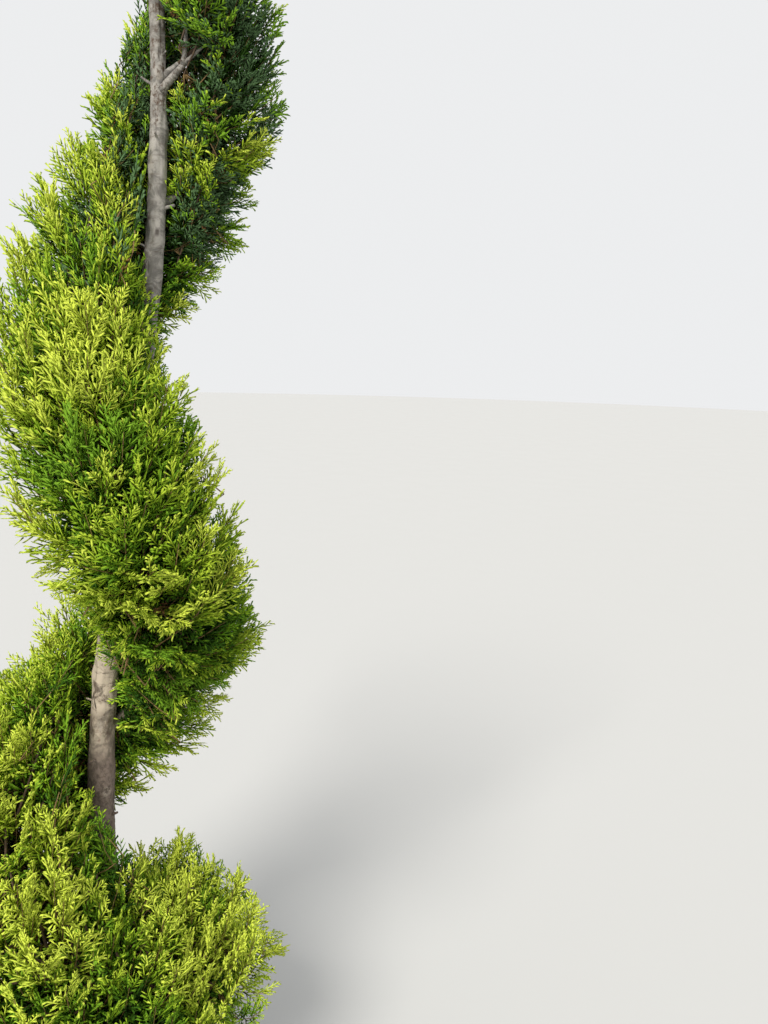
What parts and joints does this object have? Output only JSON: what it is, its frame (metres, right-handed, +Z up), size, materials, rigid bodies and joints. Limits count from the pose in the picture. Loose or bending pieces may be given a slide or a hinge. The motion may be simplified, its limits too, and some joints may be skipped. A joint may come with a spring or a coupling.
{
  "type": "spiral topiary",
  "caption": "Clipped conifer grown in its nursery pot: a leaning bare trunk with a ribbon of foliage winding round it up to a pointed tip.",
  "frame": {"origin": "middle of the pot's flat underside, on the ground", "axes": "+Z up along the plant, +X to the right seen from the picture's side, +Y away from that side"},
  "size_m": [0.6922, 0.644, 3.0652],
  "materials": {
    "pot": "matte",
    "potting_mix": "matte",
    "bark": "matte",
    "foliage": "matte"
  },
  "bodies": {
    "root": {"pot": "pot", "potting_mix": "potting_mix", "trunk": "bark", "bough_01": "bark", "bough_02": "bark", "bough_03": "bark", "bough_04": "bark", "bough_05": "bark", "bough_06": "bark", "bough_07": "bark", "bough_08": "bark", "bough_09": "bark", "bough_10": "bark", "bough_11": "bark", "bough_12": "bark", "bough_13": "bark", "bough_14": "bark", "bough_15": "bark", "bough_16": "bark", "bough_17": "bark", "bough_18": "bark", "bough_19": "bark", "bough_20": "bark", "bough_21": "bark", "bough_22": "bark", "bough_23": "bark", "foliage_turn1_back_right": "foliage", "foliage_turn1_front_right": "foliage", "foliage_turn1_front_left": "foliage", "foliage_turn1_back_left": "foliage", "foliage_turn2_back_right": "foliage", "foliage_turn2_front_right": "foliage", "foliage_turn2_front_left": "foliage", "foliage_turn2_back_left": "foliage", "foliage_turn3_back_right": "foliage", "foliage_turn3_front_right": "foliage", "foliage_turn3_front_left": "foliage", "foliage_turn3_back_left": "foliage", "foliage_turn4_back_right": "foliage", "foliage_tip": "foliage"}
  },
  "joints": []
}
